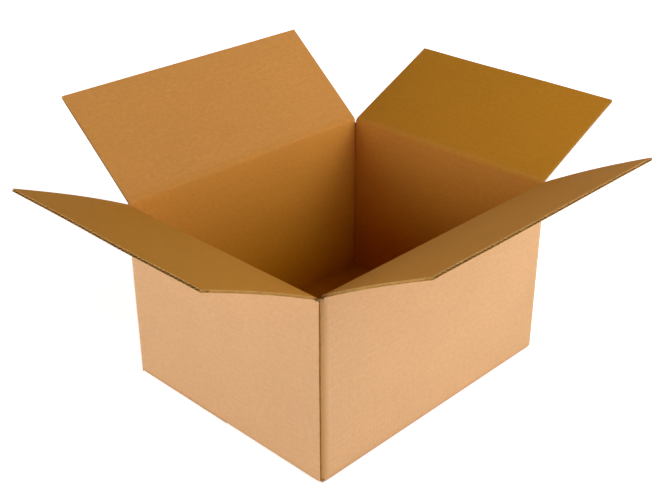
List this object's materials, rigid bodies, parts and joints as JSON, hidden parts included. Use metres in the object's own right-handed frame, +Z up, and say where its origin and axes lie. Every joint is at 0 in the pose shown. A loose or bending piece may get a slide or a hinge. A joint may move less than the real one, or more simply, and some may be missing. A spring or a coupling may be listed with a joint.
{
  "type": "corrugated box",
  "caption": "Open slotted carton of brown single-wall corrugated board, with a glued bottom and top flaps that swing on their score lines to close it.",
  "frame": {"origin": "middle of the underside of the closed bottom flaps", "axes": "+Z up, +X along the long walls, +Y along the short walls, towards the back long wall"},
  "size_m": [0.8771, 0.7417, 0.4365],
  "materials": {
    "outer_liner": "matte kraft paper, pale side",
    "inner_liner": "matte kraft paper, brown side"
  },
  "bodies": {
    "carton": {"carton_body": "outer_liner"},
    "left_flap": {"inner_flap_left": "inner_liner"},
    "right_flap": {"inner_flap_right": "inner_liner"},
    "front_flap": {"outer_flap_front": "inner_liner"},
    "back_flap": {"outer_flap_back": "inner_liner"}
  },
  "joints": [
    {"name": "left_crease", "type": "hinge", "parent": "carton", "child": "left_flap", "pos_m": [-0.2529, 0, 0.3015], "axis": [0, -1, 0], "range_deg": [-156.25, 73.25]},
    {"name": "right_crease", "type": "hinge", "parent": "carton", "child": "right_flap", "pos_m": [0.2529, 0, 0.3015], "axis": [0, 1, 0], "range_deg": [-158.5, 71]},
    {"name": "front_crease", "type": "hinge", "parent": "carton", "child": "front_flap", "pos_m": [0, -0.2031, 0.304], "axis": [1, 0, 0], "range_deg": [-149.25, 75.75]},
    {"name": "back_crease", "type": "hinge", "parent": "carton", "child": "back_flap", "pos_m": [0, 0.2031, 0.304], "axis": [-1, 0, 0], "range_deg": [-139, 86]}
  ]
}
